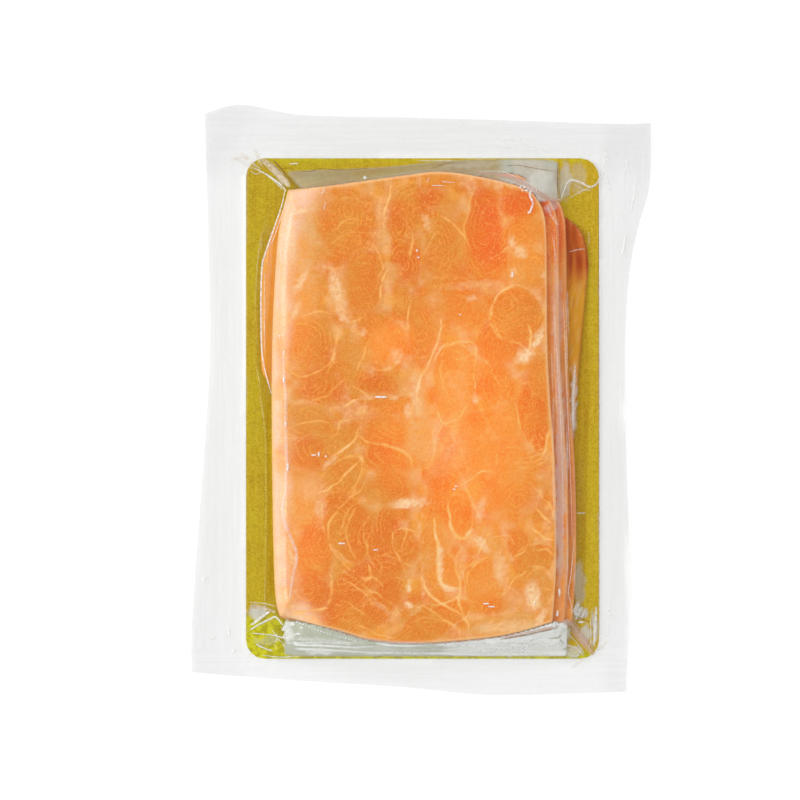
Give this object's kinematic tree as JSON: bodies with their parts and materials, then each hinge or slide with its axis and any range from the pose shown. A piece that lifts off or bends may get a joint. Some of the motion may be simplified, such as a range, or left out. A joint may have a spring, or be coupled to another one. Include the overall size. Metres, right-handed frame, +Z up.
{
  "type": "vacuum pack of sliced salmon",
  "caption": "Flat clear vacuum pack with a wide welded margin, holding stepped slices of raw salmon for sushi on a gold card board.",
  "frame": {"origin": "middle of the pack's outer box, on the table under the back film", "axes": "+Y towards the pack's top end, +X to its right side seen from above, +Z up out of the front film"},
  "size_m": [0.2212, 0.284, 0.0159],
  "materials": {
    "clear_film": "clear glossy film, slightly milky where it is creased",
    "gold_card": "gold foil facing with a fine lengthwise grain, satin",
    "salmon_top": "raw orange flesh with pale curved seams of fat, moist and soft",
    "salmon_edge": "raw orange flesh, a little deeper in colour at the cut edge",
    "salmon_dark": "brown-red flesh from next to the skin, thin and glassy at its rim"
  },
  "bodies": {
    "root": {"film_back": "clear_film", "film_front": "clear_film", "board": "gold_card", "slice_top": "salmon_top", "slice_middle": "salmon_edge", "slice_lower": "salmon_edge", "slice_bottom": "salmon_dark"}
  },
  "joints": []
}
